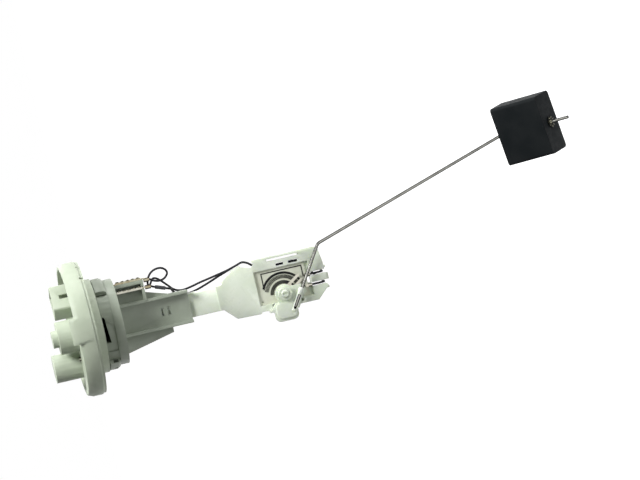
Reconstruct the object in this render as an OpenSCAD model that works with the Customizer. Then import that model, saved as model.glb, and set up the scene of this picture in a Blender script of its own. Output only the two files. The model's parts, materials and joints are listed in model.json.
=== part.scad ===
// Fuel level sender. +Z points up out of the tank and the origin is the centre of the flange's
// underside, which seats on the tank. The stem hangs down, and the float swings out towards +X.

/* [Flange cap] */
// Outer diameter of the flange
flange_d = 94; // [90:0.5:100]
// Height of the flange above its seat
flange_h = 12.6; // [11:0.1:15]
// Thickness of the flange's rim wall
rim_wall = 3.5; // [2.5:0.1:4.5]
// Depth of the recess inside the rim
recess_depth = 4; // [2:0.1:6]
// Width of the bevel on the rim's outer edge
rim_bevel = 1.4; // [0.5:0.1:2]
// Height of the raised stretch of rim on the near side
screen_h = 4.6; // [3:0.1:6]
// Diameter of the spigot below the seat
spigot_d = 66; // [64:0.2:70]
// Length of the spigot below the seat
spigot_h = 5.6; // [4:0.1:7]
// Wall of the spigot
spigot_wall = 3.6; // [3:0.1:4]
// Diameter of the middle boss
boss_d = 23; // [18:0.5:26]
// Height of the middle boss above the seat
boss_h = 25; // [20:0.5:30]
// Diameter of the nub on the middle boss
nub_d = 12; // [8:0.5:14]
// Height of the nub above the middle boss
nub_h = 4; // [2:0.5:6]
// Outer diameter of the lower stub
stub_d = 19.6; // [16:0.2:22]
// Height of the lower stub above the seat
stub_h = 31; // [26:0.5:36]

/* [Connector] */
// Width of the connector shroud
shroud_w = 17; // [15:0.5:20]
// Depth of the connector shroud
shroud_t = 19; // [17:0.5:22]
// Height of the shroud's open end above the seat
shroud_h = 23; // [20:0.5:28]
// Wall of the connector shroud
shroud_wall = 1.8; // [1.4:0.1:2.2]
// Turn of the connector about the stem
shroud_turn = 28; // [20:1:36]
// Width of the flat terminal pins
pin_w = 2.8; // [2:0.1:3]
// Thickness of the flat terminal pins
pin_t = 0.8; // [0.6:0.1:1]

/* [Carrier arm] */
// Depth of the collar's lower face below the seat
collar_depth = 20.3; // [18:0.1:24]
// Wall of the collar
collar_wall = 2.4; // [2:0.1:3]
// Width of the channel over its flanges
channel_w = 23; // [22:0.2:25]
// Depth of the channel's flanges from front to back
channel_t = 17; // [15:0.5:19]
// Thickness of the channel's web and flanges
channel_wall = 2; // [1.6:0.1:2.2]
// Depth of the channel's lower end below the seat
channel_depth = 70; // [64:0.5:76]

/* [Sender bracket] */
// Width of the neck that slides into the channel
neck_w = 17.2; // [16:0.2:18]
// Thickness of the neck
neck_t = 7; // [6:0.2:8]
// Depth of the pivot below the seat
pivot_depth = 136; // [134:0.5:138]
// Distance of the pivot behind the stem's middle line
pivot_x = -7.2; // [-8:0.1:-6.5]
// Thickness of the skin over the lead duct
skin_t = 1.2; // [1:0.1:1.4]
// Thickness of the tray's floor under the card
plate_t = 1.8; // [1.4:0.1:2.2]
// Diameter of the pivot pin
pivot_d = 5; // [4:0.1:5.6]

/* [Resistor card] */
// Thickness of the ceramic card
card_t = 0.7; // [0.5:0.05:1]
// Mean radius of the outer track
outer_track_r = 14.6; // [14:0.1:15]
// Width of the outer track
outer_track_w = 1.6; // [1:0.1:1.8]
// Mean radius of the row of contact segments
segment_r = 12; // [11.8:0.1:12.2]
// Radial length of a contact segment
segment_w = 2.6; // [2:0.1:2.8]
// Number of contact segments
segments = 34; // [20:1:40]
// Mean radius of the inner track
inner_track_r = 8.2; // [8:0.1:8.6]
// Width of the inner track
inner_track_w = 2.4; // [1.6:0.1:2.6]

/* [Rotor] */
// Diameter of the rotor's hub
hub_d = 9.4; // [8.6:0.2:10.4]
// Thickness of the rotor's plate
rotor_t = 2.6; // [2:0.1:3]
// Radius of the rotor's tail lobe
lobe_r = 8.4; // [8:0.1:8.8]
// Running clearance between the pivot pin and the rotor
pivot_clear = 0.05; // [0.03:0.01:0.08]

/* [Float arm] */
// Diameter of the float wire
wire_d = 2.2; // [2:0.1:2.5]
// Length of the wire's first leg, from the rotor to the shoulder bend
leg_1 = 47; // [44:0.5:50]
// Length of the wire's long leg, from the shoulder bend to the float
leg_2 = 149; // [140:1:158]
// Angle of the wire's long leg out from the stem
leg_2_angle = 17.5; // [14:0.5:21]
// Bend radius of the wire
bend_r = 5; // [4:0.5:6]
// Forward tilt of the float
float_tilt = 40; // [32:1:44]

/* [Float] */
// Length of the float along the wire
float_l = 37; // [34:0.5:42]
// Width of the float across the wire
float_w = 42; // [38:0.5:46]
// Thickness of the float
float_t = 21; // [18:0.5:24]
// Radius of the float's long edges
float_round = 2.4; // [1.5:0.1:3]
// Turn of the float about its wire at rest
float_turn = 6; // [0:1:12]

/* [Leads] */
// Diameter of a lead over its insulation
lead_d = 1.5; // [1.4:0.05:1.6]
// Diameter of the sleeve over the second lead
sleeve_d = 2.6; // [2.4:0.05:2.8]

/* [Hidden] */
$fn = 64;
gap = 0.3;
snug = 0.05;
eps = 0.01;

// Flange cap: places on its face, seen from above
floor_z = flange_h - recess_depth;
bevel_h = 3.6;
boss_x = -2.4;
boss_y = -12;
stub_x = -23.2;
stub_y = 4;
pad_x = -8.4;
pad_z = flange_h - 0.5;
screen_x = 9.8;
vent = [-19.5, -8];
vent_d = 2;
notch_angles = [-24, -41];
notch = [1.6, 1.8, 3];
spigot_in = spigot_d - 2 * spigot_wall;

// Connector, which sits inside the spigot's circle
shroud_x = spigot_d / 2 - 11.6;
shroud_y = 0.5;
shroud_r = 1.5;
pin_pitch = 7;
pin_top = shroud_h - 5;
pin_foot = -12;
latch_w = 3;
latch_z = 17.5;

// Carrier arm: a sleeve inside the spigot, a collar below it and a channel
liner_d = spigot_in - 2 * snug;
collar_d = liner_d + 1.2;
collar_band = 6.3;
liner_in = liner_d / 2 - collar_wall;
stem_x = -0.9;
channel_top_x = stem_x + channel_w / 2;
channel_low_x = stem_x - channel_w / 2;
web_front = -4;
web_back = web_front + channel_wall;
web_slots = [channel_depth - 19.7, channel_depth - 15];
clip_r = spigot_d / 2 - 0.8;
clip_top = spigot_h + 0.7;
clip_foot = collar_depth - collar_band - 0.3;

// Terminal holder, with the terminals' places and the plates that join them to the pins
holder_x = collar_d / 2 - 5.55;
holder_depth = collar_depth + 21;
holder_front = -9;
holder_back = -2;
holder_wall = 2;
bar_t = 2.4;
blade = [0.8, 4];
blade_a = [holder_x + 0.1, -8];
blade_b = [holder_x - 5.9, -8.5];
crimp_a = [holder_x - 0.8, -6];
crimp_b = [holder_x - 5.8, -6.5];
crimp_d = 2.9;
crimp_l = 4;
crimp_z = -holder_depth - 0.7;
crimp_floor = 1;
link_z = -10;
link_w = 2.8;

// Sender bracket: heights in its tray are measured up and down from the pivot
neck_top_x = 8;
neck_low_x = neck_top_x - neck_w;
neck_start = channel_depth - 24;
neck_front = web_back + snug;
widen_up = 42;
tray_up = 18;
tray_down = 20.6;
end_down = 31.3;
frame_top_x = 20.2;
frame_low_x = -16.7;
front_y = -3;
back_y = 6;
card_top_x = 11.6;
card_low_x = -12.2;
card_down = 18;
duct_low_x = card_top_x + 1;
duct_top_x = duct_low_x + 3.8;
slot_low_x = duct_top_x + 0.6;
slot_top_x = slot_low_x + 1.4;
tab_x = [2.1, -5.3];
lead_notch = 2.6;
stop_up = 10.1;
tongue = [-4.2, 0.8];
peg_x = [5.2, -9.1];
peg_d = 2;

// Card and its printed film
card_front = -1.6;
card_back = card_front + card_t;
film_t = 0.15;
film_back = card_front - snug / 5;
track_from = 20;
track_to = [156, 164, 175];
trace_w = 0.7;
trace_x = 9.7;
trace_up = 12.6;
trace_down = 15.4;
card_hole = [-9.9, 15.8];
card_hole_d = 1.4;
tab_y = -2;
cup_d = 2.2;

// Rotor and wire
rotor_back = -3.4;
rotor_front = rotor_back - rotor_t;
wire_y = rotor_front - wire_d / 2 + 0.6;
hub_front = rotor_front - 3;
pivot = [pivot_x, 0, -pivot_depth];
leg_1_angle = 57.7;
wire_bore = wire_d / 2 + snug;
tail = pivot + swing(leg_1_angle - 90, 10) + swing(leg_1_angle, -6.6) + [0, wire_y, 0];
shoulder = tail + swing(leg_1_angle, leg_1);
elbow = shoulder + swing(leg_2_angle, leg_2);
float_angle = 4;
float_dir = [sin(float_angle) * cos(float_tilt), -sin(float_tilt), -cos(float_angle) * cos(float_tilt)];
float_gap = 4.8;
hook_r = 1.8;
bend_swell = 0.04;
bend_lap = 0.15;
wire_tip = float_gap + float_l + 14.5;
lobe_low_x = pivot_x - 2.25 * lobe_r;
wiper_angle = 34;
ear = [-14, -11.4];
ear_d = 5;
ear_hole_d = 2;

// Directions in the plane of the float's swing are angles from straight down towards +X.
function swing(angle, r) = [r * sin(angle), 0, -r * cos(angle)];
function unit(v) = v / norm(v);
function below_holder(x, y, down) = [holder_x + x, y, -holder_depth - down];
function at_tray(x, y, up) = [x, y, up - pivot_depth];

module at_pivot(depth) translate([pivot_x, depth, -pivot_depth]) rotate([90, 0, 0]) children();
module in_connector() translate([shroud_x, shroud_y, 0]) rotate(-90 + shroud_turn) children();

// A flat shape in X and Z, thickened from a front to a back; its heights are measured from the pivot.
module slab(front, back)
    translate([0, back, -pivot_depth]) rotate([90, 0, 0]) linear_extrude(back - front) children();
module span(x1, z1, x2, z2) translate([x1, z1]) square([x2 - x1, z2 - z1]);

// A round bar between two points.
module bar(a, b, r) {
    d = b - a;
    translate(a)
        rotate([0, acos(d[2] / norm(d)), atan2(d[1], d[0])])
            cylinder(h = norm(d), r = r, $fn = 32);
}

module rounded(w, h, r) {
    translate([-w / 2 + r, -h / 2]) square([w - 2 * r, h]);
    translate([-w / 2, -h / 2 + r]) square([w, h - 2 * r]);
    for (x = [-1, 1], y = [-1, 1])
        translate([x * (w / 2 - r), y * (h / 2 - r)]) circle(r = r, $fn = 32);
}

// Cap: a dished disc with a bevelled rim
module rim_profile(top)
    polygon([[0, 0], [flange_d / 2 - 0.8, 0], [flange_d / 2 - 0.8, 1.6], [flange_d / 2, 2.2],
             [flange_d / 2, top - bevel_h], [flange_d / 2 - rim_bevel, top],
             [flange_d / 2 - rim_wall, top], [flange_d / 2 - rim_wall, floor_z], [0, floor_z]]);

// The rim is higher on its upper half and stands up as a screen on the near side.
module rim_stretch(x1, x2, y2, rise) intersection() {
    rotate_extrude($fn = 128) difference() {
        rim_profile(flange_h + rise);
        square([flange_d / 2 - rim_wall, 2 * flange_d]);
    }
    translate([x1, -flange_d, 0]) cube([x2 - x1, flange_d + y2, 2 * flange_d]);
}

// A pad fills the lower near part of the recess round the stub.
module stub_pad() linear_extrude(pad_z) intersection() {
    circle(d = flange_d - 2 * rim_wall + 1);
    span(-flange_d / 2, -flange_d / 2, pad_x, stub_y);
}

module flange_cap() color([0.78, 0.82, 0.73])
    difference() {
        union() {
            rotate_extrude($fn = 128) rim_profile(flange_h);
            rim_stretch(screen_x - 1, flange_d, flange_d, 1);
            rim_stretch(pad_x, screen_x, -flange_d / 4, screen_h);
            stub_pad();
            translate([boss_x, boss_y, 1]) cylinder(h = boss_h - 1, d = boss_d);
            translate([boss_x, boss_y, 1]) cylinder(h = boss_h + nub_h - 1, d = nub_d);
            translate([stub_x, stub_y, 1]) cylinder(h = stub_h - 1, d = stub_d);
            in_connector() translate([0, 0, 1])
                linear_extrude(shroud_h - 1) rounded(shroud_w, shroud_t, shroud_r);
            translate([0, 0, -spigot_h]) cylinder(h = spigot_h + 1, d = spigot_d, $fn = 128);
        }
        translate([0, 0, -spigot_h - 1]) cylinder(h = spigot_h + 1, d = spigot_in, $fn = 128);
        in_connector() {
            translate([0, 0, floor_z])
                linear_extrude(shroud_h) rounded(shroud_w - 2 * shroud_wall, shroud_t - 2 * shroud_wall, 0.8);
            translate([shroud_w / 2 - shroud_wall - 1, -latch_w / 2, floor_z + 3])
                cube([shroud_wall + 2, latch_w, latch_z - floor_z - 3]);
            for (s = [-1, 1]) translate([s * pin_pitch / 2, 0, 0])
                cube([pin_w + 2 * snug, pin_t + 2 * snug, 4 * floor_z], center = true);
        }
        translate([vent[0], vent[1], pad_z - 3]) cylinder(h = 4, d = vent_d, $fn = 24);
        for (a = notch_angles) rotate(a) translate([flange_d / 2 - notch[0], -notch[1] / 2, -eps])
            cube(notch + [1, 0, 0]);
    }

// Pins: flat strips through the cap
module pin(side) in_connector() translate([side * pin_pitch / 2 - pin_w / 2, -pin_t / 2, pin_foot])
    cube([pin_w, pin_t, pin_top - pin_foot]);
module pin_a() color([0.75, 0.70, 0.55]) pin(-1);
module pin_b() color([0.75, 0.70, 0.55]) pin(1);

// A block on the sleeve between two turns about the stem, with a ramp on its lower edge.
module clip_block(from, to, r) rotate(from) rotate_extrude(angle = to - from, $fn = 128)
    polygon([[liner_d / 2 - 1, -clip_top], [r, -clip_top], [r, -clip_foot + 2], [r - 1.2, -clip_foot],
             [liner_d / 2 - 1, -clip_foot]]);

module collar() difference() {
    union() {
        translate([0, 0, -collar_depth]) cylinder(h = collar_band, d = collar_d, $fn = 128);
        translate([0, 0, -collar_depth]) cylinder(h = collar_depth - 2 * gap, d = liner_d, $fn = 128);
        clip_block(-44, -4, clip_r);
        clip_block(162, 212, clip_r);
    }
    translate([0, 0, -collar_depth + collar_wall]) cylinder(h = collar_depth, r = liner_in, $fn = 128);
    // window on the near side, with one end curved
    translate([0, -liner_in / 2, 0]) rotate([90, 0, 0]) linear_extrude(liner_d) difference() {
        span(-18.9, -clip_foot, 5.6, -clip_top);
        translate([6.6, -clip_foot - 1.4]) circle(r = 7.4);
    }
    // gaps that free the snap tab
    for (a = [-46, -2]) rotate(a) translate([liner_in - 2, -0.6, -clip_foot]) cube([8, 1.2, collar_depth]);
    rotate(196) translate([liner_in - 2, -1, -clip_foot + 2.4]) cube([8, 2, 2]);
    // slits for the two terminals
    for (b = [blade_a, blade_b]) translate([b[0] - snug, b[1] - snug, -collar_depth - 1])
        cube([blade[0] + 2 * snug, blade[1] + 2 * snug, collar_wall + 2]);
}

module channel_profile() {
    span(channel_low_x, web_front, channel_top_x, web_back);
    for (x = [channel_low_x, channel_top_x - channel_wall])
        span(x, -channel_t / 2, x + channel_wall, channel_t / 2);
}

module channel() difference() {
    translate([0, 0, -channel_depth]) linear_extrude(channel_depth - collar_depth + eps) channel_profile();
    for (z = web_slots) translate([stem_x - 2.8, web_front - 1, -z - 0.9]) cube([5.6, 4, 1.8]);
}

// Thin gussets carry the channel on both sides.
module gussets() translate([0, web_back, 0]) rotate([90, 0, 0]) linear_extrude(channel_wall) {
    polygon([[channel_low_x + 1, -collar_depth + eps], [channel_low_x - 11.5, -collar_depth + eps],
             [channel_low_x - 3.6, -collar_depth - 35], [channel_low_x + 1, -collar_depth - 35]]);
    polygon([[channel_top_x - 1, -collar_depth + eps], [channel_top_x + 11.4, -collar_depth + eps],
             [channel_top_x + 0.4, -collar_depth - 36.3], [channel_top_x - 1, -collar_depth - 36.3]]);
}

module terminal_holder() difference() {
    translate([channel_top_x - 1, holder_front, -holder_depth])
        cube([holder_x - channel_top_x + 1, holder_back - holder_front, holder_depth - collar_depth + eps]);
    translate([channel_top_x - 2, holder_front - 1, -holder_depth + holder_wall])
        cube([holder_x - channel_top_x + 2 - bar_t, holder_back - holder_front - 1,
              holder_depth - collar_depth - holder_wall + 1]);
    translate([blade_b[0] - 0.6, holder_front - 1, -holder_depth - 1])
        cube([2, 6, holder_wall + 2]);
}

module carrier_arm() color([0.62, 0.67, 0.58]) {
    collar();
    channel();
    gussets();
    terminal_holder();
}

// A terminal: a strip down the holder with a crimp at its foot and a plate that grips a pin.
module terminal(corner, crimp) {
    translate([corner[0], corner[1], crimp_z - crimp_floor])
        cube([blade[0], blade[1], link_z + pin_t - crimp_z + crimp_floor]);
    difference() {
        translate([crimp[0], crimp[1], crimp_z - crimp_l]) cylinder(h = crimp_l, d = crimp_d, $fn = 32);
        translate([crimp[0], crimp[1], crimp_z - crimp_l - crimp_floor])
            cylinder(h = crimp_l, d = lead_d + 2 * snug, $fn = 32);
    }
}
module pin_slit(side) in_connector() translate([side * pin_pitch / 2, 0, link_z])
    cube([pin_w + 2 * snug, pin_t + 2 * snug, 4], center = true);

module terminal_a() color([0.80, 0.72, 0.45]) difference() {
    union() {
        terminal(blade_a, crimp_a);
        in_connector() translate([1.2, -link_w / 2, link_z]) cube([6, link_w, pin_t]);
    }
    pin_slit(1);
}
module terminal_b() color([0.85, 0.85, 0.82]) difference() {
    union() {
        terminal(blade_b, crimp_b);
        translate([0, 0, link_z]) in_connector() linear_extrude(pin_t)
            polygon([[6.4, -1.4 - 2 * link_w], [6.4, -1.4 - link_w], [-1.2, -1.4 - link_w], [-1.2, link_w / 2],
                     [-5.8, link_w / 2], [-5.8, -1.4 - 2 * link_w]]);
    }
    pin_slit(-1);
}

module widening() polygon([
    [neck_top_x, widen_up + 4], [neck_top_x, widen_up], [11, widen_up - 2], [16.5, 32], [18.6, 25],
    [frame_top_x, 24], [frame_top_x, tray_up - eps], [frame_low_x - 1, tray_up - eps], [frame_low_x - 1, 20],
    [frame_low_x - 0.6, 35], [neck_low_x, widen_up + 1], [neck_low_x, widen_up + 4]]);

module tray_outline() polygon([
    [frame_low_x, tray_up], [frame_top_x, tray_up], [frame_top_x, 4 - end_down], [slot_top_x, 1.6 - end_down],
    [7.7, -end_down], [-9, -end_down], [frame_low_x, 8 - end_down]]);

// Cores in the back of the tray, round the pivot's boss and a rib
module back_cores() difference() {
    span(card_low_x + 1, 1.4 - tray_down, card_top_x, tray_up - 1.4);
    translate([pivot_x, 0]) circle(d = pivot_d + 5);
    span(2, -tray_down, 3.4, tray_up);
    span(card_low_x, -0.7, card_top_x, 0.7);
}

// The leads enter at the top edge and run down a duct beside the card.
module duct() {
    span(duct_low_x, -tray_down, duct_top_x, 16);
    polygon([[duct_low_x, 15], [duct_top_x, 14], [frame_top_x + 1, 18.5], [frame_top_x + 1, 26], [17.4, 26],
             [duct_low_x, 18]]);
}

module sender_bracket() color([0.85, 0.90, 0.82]) {
    difference() {
        union() {
            translate([0, neck_front + neck_t, 0]) rotate([90, 0, 0]) linear_extrude(neck_t)
                span(neck_low_x, widen_up + 2 - pivot_depth, neck_top_x, -neck_start);
            for (z = web_slots) translate([stem_x - 2.7, neck_front - 1.5, -z - 0.8]) cube([5.4, 2, 1.6]);
            slab(front_y, back_y) widening();
            slab(front_y, back_y) tray_outline();
            slab(-1, 3) span(tongue[0], -end_down - 2, tongue[1], -end_down + 2);
            for (x = peg_x) translate([x, 1.5, -pivot_depth - end_down - 1.4])
                cylinder(h = 3, d = peg_d, $fn = 24);
            // empty stop
            slab(front_y - 2.6, 0) span(frame_low_x - 1.9, stop_up, frame_low_x + 0.7, stop_up + 2.5);
        }
        // pocket for the card, with a gap at its lower edge
        slab(front_y - 1, card_back + snug)
            span(card_low_x - snug, -tray_down, card_top_x + snug, tray_up + snug);
        slab(-2, back_y + 1) span(-3.6, -tray_down, 0.5, -card_down - snug);
        slab(card_back + snug + plate_t, back_y + 1) back_cores();
        slab(front_y + skin_t, back_y + 1) duct();
        slab(front_y - 1, back_y) {
            span(duct_low_x, -4, duct_low_x + 2, 1.4);
            span(duct_low_x, -14, duct_low_x + 2, -7.6);
            polygon([[frame_top_x + 1, 18.5], [frame_top_x + 1, 26], [17.4, 26], [15.4, 19], [17.2, 17]]);
        }
        // slot beside the top rail, and the recessed bar by the rotor
        slab(front_y - 1, back_y + 1) span(slot_low_x, -15.6, slot_top_x, 7.2);
        slab(front_y - 1, 0) span(-15.2, 5, -12.9, 9.6);
        // notches for the leads, and cores between them
        for (x = tab_x) slab(front_y - 1, back_y + 1)
            span(x - lead_notch / 2, -end_down - 3, x + lead_notch / 2, eps - tray_down);
        slab(0, back_y + 1) span(5, 2 - end_down, 15.5, -tray_down - 1.4);
        slab(0, back_y + 1) span(-12, 3 - end_down, -8, -tray_down - 1.4);
    }
    // pivot pin with a slotted head
    difference() {
        union() {
            at_pivot(0) translate([0, 0, -1]) cylinder(h = 1 - hub_front + gap, d = pivot_d);
            at_pivot(hub_front - gap) cylinder(h = 1, d1 = pivot_d + 0.8, d2 = pivot_d - 0.6);
        }
        at_pivot(hub_front - gap - 0.4) translate([-0.6, -2, 0]) cube([1.2, 4, 2]);
    }
}

module resistor_card() color([0.90, 0.90, 0.82])
    difference() {
        slab(card_front, card_back) span(card_low_x, -card_down, card_top_x, tray_up);
        at_pivot(5) cylinder(h = 10, d = pivot_d + 0.6);
        slab(card_front - 1, card_back + 1) translate(card_hole) circle(d = card_hole_d, $fn = 24);
    }

// A printed ring sector on the card, between two swing angles.
module track(r, w, from, to)
    translate([pivot_x, film_back, -pivot_depth]) rotate([90, 0, 0])
        rotate(from - 90) rotate_extrude(angle = to - from, $fn = 96)
            translate([r - w / 2, 0]) square([w, film_t]);
module trace(x1, z1, x2, z2) slab(film_back - film_t, film_back) span(x1, z1, x2, z2);

module outer_track() color([0.08, 0.08, 0.08]) {
    arc_end = pivot_x + outer_track_r * sin(track_to[0]);
    track(outer_track_r, outer_track_w, track_from, track_to[0]);
    trace(arc_end - 0.8, trace_up, trace_x, trace_up + trace_w);
    trace(trace_x - trace_w, -trace_down, trace_x, trace_up + trace_w);
    trace(tab_x[0] - trace_w, -trace_down - trace_w, trace_x, -trace_down);
}
module contact_segments() color([0.45, 0.47, 0.44]) {
    step = (track_to[1] - track_from) / segments;
    for (i = [0 : segments - 1])
        track(segment_r, segment_w, track_from + i * step, track_from + (i + 0.72) * step);
}
module inner_track() color([0.30, 0.31, 0.28]) {
    track(inner_track_r, inner_track_w, track_from, track_to[2]);
    trace(tab_x[1] - trace_w / 2, -trace_down, tab_x[1] + trace_w / 2 + 1, -inner_track_r * cos(track_from));
}

// A solder tab on the card, with a cup for the lead's end.
module card_tab(x) {
    slab(film_back - film_t - 0.4, film_back - film_t - eps)
        span(x - 1, -card_down - 1, x + 1, -trace_down - 0.8);
    difference() {
        bar(at_tray(x, tab_y, -card_down - 0.3), at_tray(x, tab_y, -tray_down), cup_d / 2);
        bar(at_tray(x, tab_y, -card_down - 1), at_tray(x, tab_y, -tray_down - 1), lead_d / 2 + snug);
    }
}
module card_tab_a() color([0.80, 0.80, 0.78]) card_tab(tab_x[0]);
module card_tab_b() color([0.80, 0.80, 0.78]) card_tab(tab_x[1]);

// Rotor: a plate with a hub, a drum-shaped tail, an ear and a clip for the wire
module rotor_outline() {
    translate([(lobe_low_x + pivot_x - 5) / 2, 1.4]) rounded(pivot_x - 5 - lobe_low_x, 16.8, 4);
    polygon([[pivot_x + 3, 5.4], [pivot_x + 5.6, 2], [pivot_x + 4.4, -4], [-3, -12.4], [-6, -15], [-9, -15.4],
             [-12, -12], [-19, -8], [-16, 6]]);
    translate(ear) circle(d = ear_d, $fn = 32);
}

module rotor() color([0.87, 0.91, 0.83])
    difference() {
        union() {
            at_pivot(rotor_back) cylinder(h = rotor_back - hub_front, d = hub_d);
            at_pivot(rotor_back) cylinder(h = rotor_t, d = hub_d + 3.6);
            slab(rotor_front, rotor_back) rotor_outline();
            slab(rotor_front - 1.2, rotor_back) translate([(lobe_low_x + pivot_x - 5) / 2 + 0.6, 1.4])
                rounded(pivot_x - 8 - lobe_low_x, 13.6, 3);
            translate([0, 0.4, 0]) bar(tail + swing(leg_1_angle, -2.6), tail + swing(leg_1_angle, 14.5), 2.1);
        }
        at_pivot(0) cylinder(h = 20, d = pivot_d + 2 * pivot_clear);
        bar(tail, tail + swing(leg_1_angle, 30), wire_bore);
        bar(tail + [0, 5, 0], tail + [0, -wire_d, 0], wire_bore);
        // the clip is open in front between the hook and its end
        translate(tail) rotate([0, -leg_1_angle, 0]) translate([-wire_bore, -4, -9.5])
            cube([2 * wire_bore, 4, 8.5]);
        slab(rotor_front - 1, rotor_back + 1) translate(ear) circle(d = ear_hole_d, $fn = 24);
    }

// Wiper: a forked spring strip with two contact tips
module wiper() color([0.80, 0.68, 0.40])
    translate(pivot) rotate([0, -wiper_angle, 0]) {
        difference() {
            translate([-3, rotor_back + snug / 5, -16.4]) cube([6, 0.3, 12]);
            translate([-1, rotor_back - 1, -17]) cube([2, 2, 9]);
        }
        for (side = [[-2, outer_track_r], [2, inner_track_r]])
            translate([side[0], rotor_back + 0.3, -side[1]]) rotate([-90, 0, 0])
                cylinder(h = film_back - film_t - gap - rotor_back - 0.3, r1 = 0.9, r2 = 0.4, $fn = 24);
    }

// One bend of a round wire, which turns from direction d1 to direction d2 at a corner.
module wire_bend(corner, d1, d2, r) {
    turn = acos(d1 * d2);
    side = cross(d1, d2) / norm(cross(d1, d2));
    inward = cross(side, d1);
    start = corner - d1 * r * tan(turn / 2);
    middle = start + inward * r;
    multmatrix([for (k = [0 : 2]) [-inward[k], d1[k], side[k], middle[k]]])
        rotate_extrude(angle = turn, $fn = 128) translate([r, 0]) circle(d = wire_d + bend_swell, $fn = 32);
}

// A wire with straight runs between its bends; each inner point has a bend radius.
module bent_wire(p, r) {
    n = len(p);
    d = [for (i = [0 : n - 2]) unit(p[i + 1] - p[i])];
    cut = [for (i = [0 : n - 1]) i % (n - 1) == 0 ? 0 : r[i] * tan(acos(d[i - 1] * d[i]) / 2) - bend_lap];
    for (i = [0 : n - 2]) bar(p[i] + d[i] * cut[i], p[i + 1] - d[i] * cut[i + 1], wire_d / 2);
    for (i = [1 : n - 2]) wire_bend(p[i], d[i - 1], d[i], r[i]);
}

module float_wire() color([0.72, 0.72, 0.70])
    bent_wire([tail + [0, rotor_back - wire_y - 0.2, 0], tail, shoulder, elbow, elbow + float_dir * wire_tip],
              [0, hook_r, bend_r, bend_r]);

module on_float()
    translate(elbow) rotate([0, -float_angle, 0]) rotate([-float_tilt, 0, 0]) mirror([0, 0, 1]) children();

module float_block() color([0.10, 0.12, 0.13])
    on_float() difference() {
        translate([0, 0, float_gap]) linear_extrude(float_l)
            rotate(-float_turn) rounded(float_w, float_t, float_round);
        cylinder(h = 2 * float_l, d = wire_d + 2 * pivot_clear);
    }

module push_nut() color([0.75, 0.73, 0.62])
    on_float() translate([0, 0, float_gap + float_l + gap]) difference() {
        union() {
            cylinder(h = 0.5, d = 8);
            cylinder(h = 1.6, d1 = 5, d2 = 3.4);
        }
        translate([0, 0, -1]) cylinder(h = 4, d = wire_d + 2 * snug);
    }

// A tube swept along points, with rings that lean half way between neighbours.
function ring_dir(p, i) = unit(p[min(i + 1, len(p) - 1)] - p[max(i - 1, 0)]);
module tube(p, d, sides = 8) {
    n = len(p);
    pts = [for (i = [0 : n - 1]) let(t = ring_dir(p, i), u = unit(cross(t, [0.3, 1, 0.2])), v = cross(t, u))
           for (k = [0 : sides - 1]) p[i] + d / 2 * (cos(360 * k / sides) * u + sin(360 * k / sides) * v)];
    faces = [[for (k = [sides - 1 : -1 : 0]) k],
             [for (k = [0 : sides - 1]) (n - 1) * sides + k],
             for (i = [0 : n - 2], k = [0 : sides - 1]) let(l = (k + 1) % sides)
                 [i * sides + k, i * sides + l, (i + 1) * sides + l, (i + 1) * sides + k]];
    polyhedron(points = pts, faces = faces);
}

// Routes of the leads: from the crimps round behind the channel, beside the neck and through the duct
lead_a_route = [
    below_holder(-0.8, -6, 1.8), below_holder(-0.8, -6, 4.8), below_holder(-2.6, -6, 8),
    below_holder(-3.4, -6, 11.6), below_holder(-2.4, -5.8, 15.4), below_holder(0.4, -5.2, 17.9),
    below_holder(3.2, -4.6, 17.2), below_holder(5, -4, 14.2), below_holder(4.8, -3.4, 10.2),
    below_holder(2.8, -3, 6.6), below_holder(-0.8, -2.4, 4.2), below_holder(-4.4, -1, 3.6),
    below_holder(-5.4, 1, 4.8), below_holder(-3.6, 2.6, 6.2), below_holder(-1.4, 2.8, 7.8),
    below_holder(-1.4, 2.8, 10), below_holder(-3.2, 3, 12.6), below_holder(-6.4, 4.6, 15.8),
    below_holder(-9.4, 7.6, 18.8), below_holder(-11.6, 9.8, 21), below_holder(-13.2, 10.5, 24),
    below_holder(-13.8, 10.4, 28), below_holder(-12.8, 9.8, 34), below_holder(-11.4, 9.2, 40),
    at_tray(14.3, 8.2, 48), at_tray(15.7, 7, 41), at_tray(17.1, 5.6, 34.4), at_tray(19, 3.8, 28),
    at_tray(20.4, 1.6, 23.6), at_tray(19, 0, 20), at_tray(16.4, -0.8, 16.8), at_tray(14.4, -0.95, 12.8),
    at_tray(13.6, -0.95, 8), at_tray(13.6, -0.95, -11), at_tray(13.6, 1.6, -14.4), at_tray(13.6, 5, -16.8),
    at_tray(12.8, 7.2, -19.4), at_tray(10.4, 7.4, -23), at_tray(6.5, 7.4, -27.5), at_tray(3.4, 7.2, -29.8),
    at_tray(2.2, 5.6, -30.2), at_tray(tab_x[0], 2.6, -30), at_tray(tab_x[0], -0.4, -28.4),
    at_tray(tab_x[0], tab_y, -25.4), at_tray(tab_x[0], tab_y, -card_down - 1.2)];
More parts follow.
